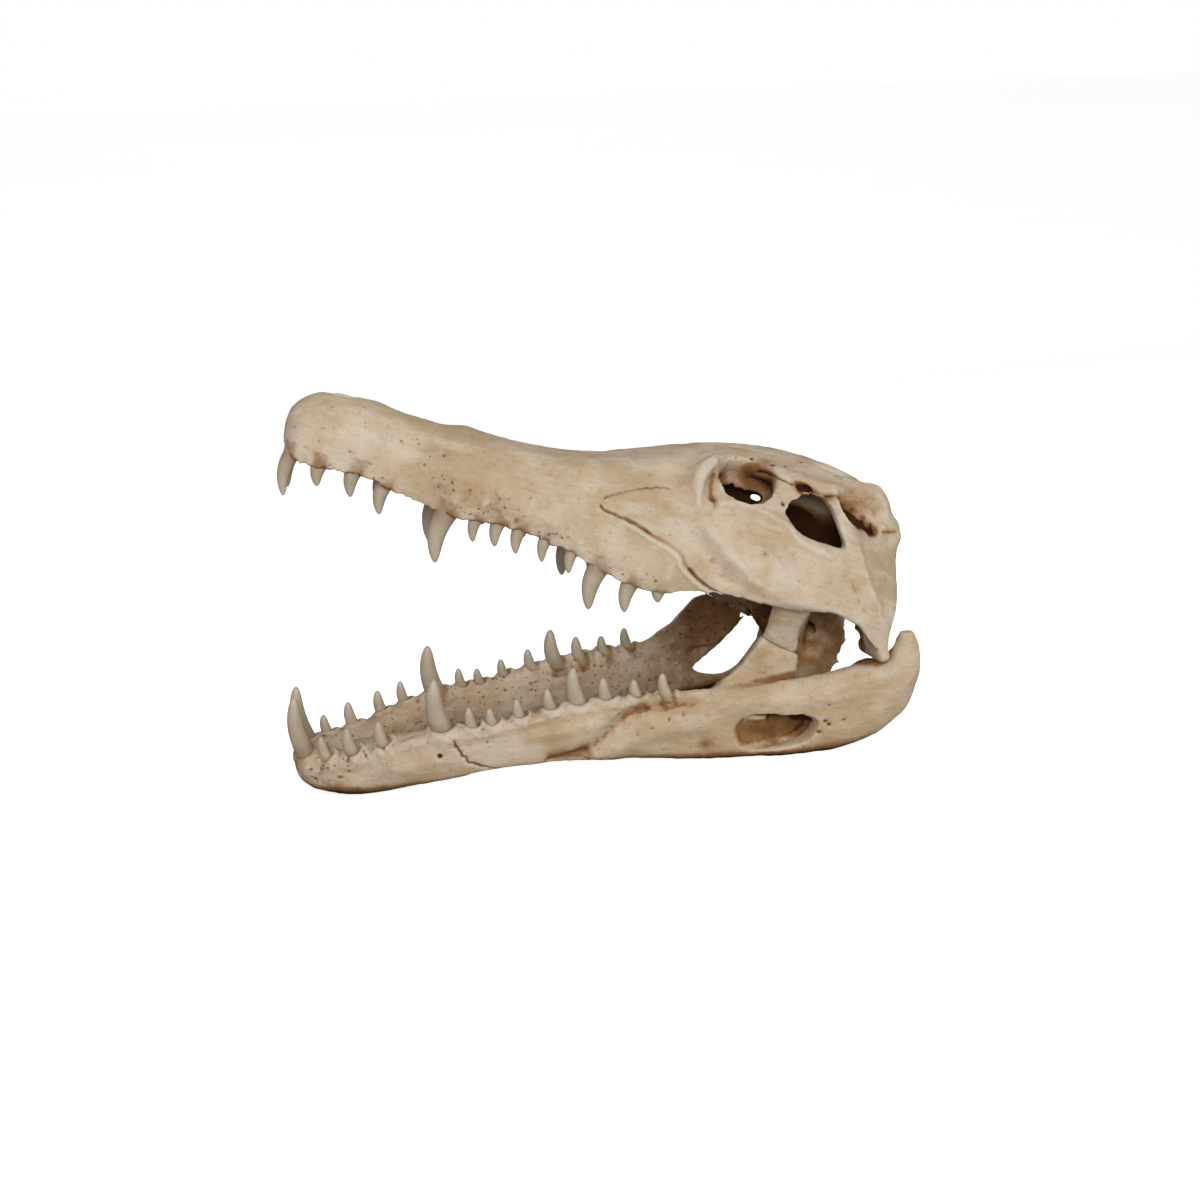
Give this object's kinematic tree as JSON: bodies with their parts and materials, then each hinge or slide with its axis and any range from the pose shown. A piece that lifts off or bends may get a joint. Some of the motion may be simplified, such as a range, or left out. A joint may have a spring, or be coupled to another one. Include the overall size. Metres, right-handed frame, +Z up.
{
  "type": "crocodile skull",
  "caption": "Adult crocodile skull with open jaws, resting on its lower jaw: cranium with upper teeth and the lower jaw in two halves.",
  "frame": {"origin": "on the floor, under the middle of the skull's bounding box", "axes": "+Z up, -X towards the snout, -Y towards the animal's left side"},
  "size_m": [0.5118, 0.2118, 0.3186],
  "materials": {
    "cranium_bone": "dry cream bone with a warm brown wash in the hollows",
    "jaw_bone": "dry cream bone, browner and more porous on the inside",
    "tooth_enamel": "satin greyish cream enamel"
  },
  "bodies": {
    "root": {"cranium": "cranium_bone", "mandible_left": "jaw_bone", "mandible_right": "jaw_bone"}
  },
  "joints": []
}
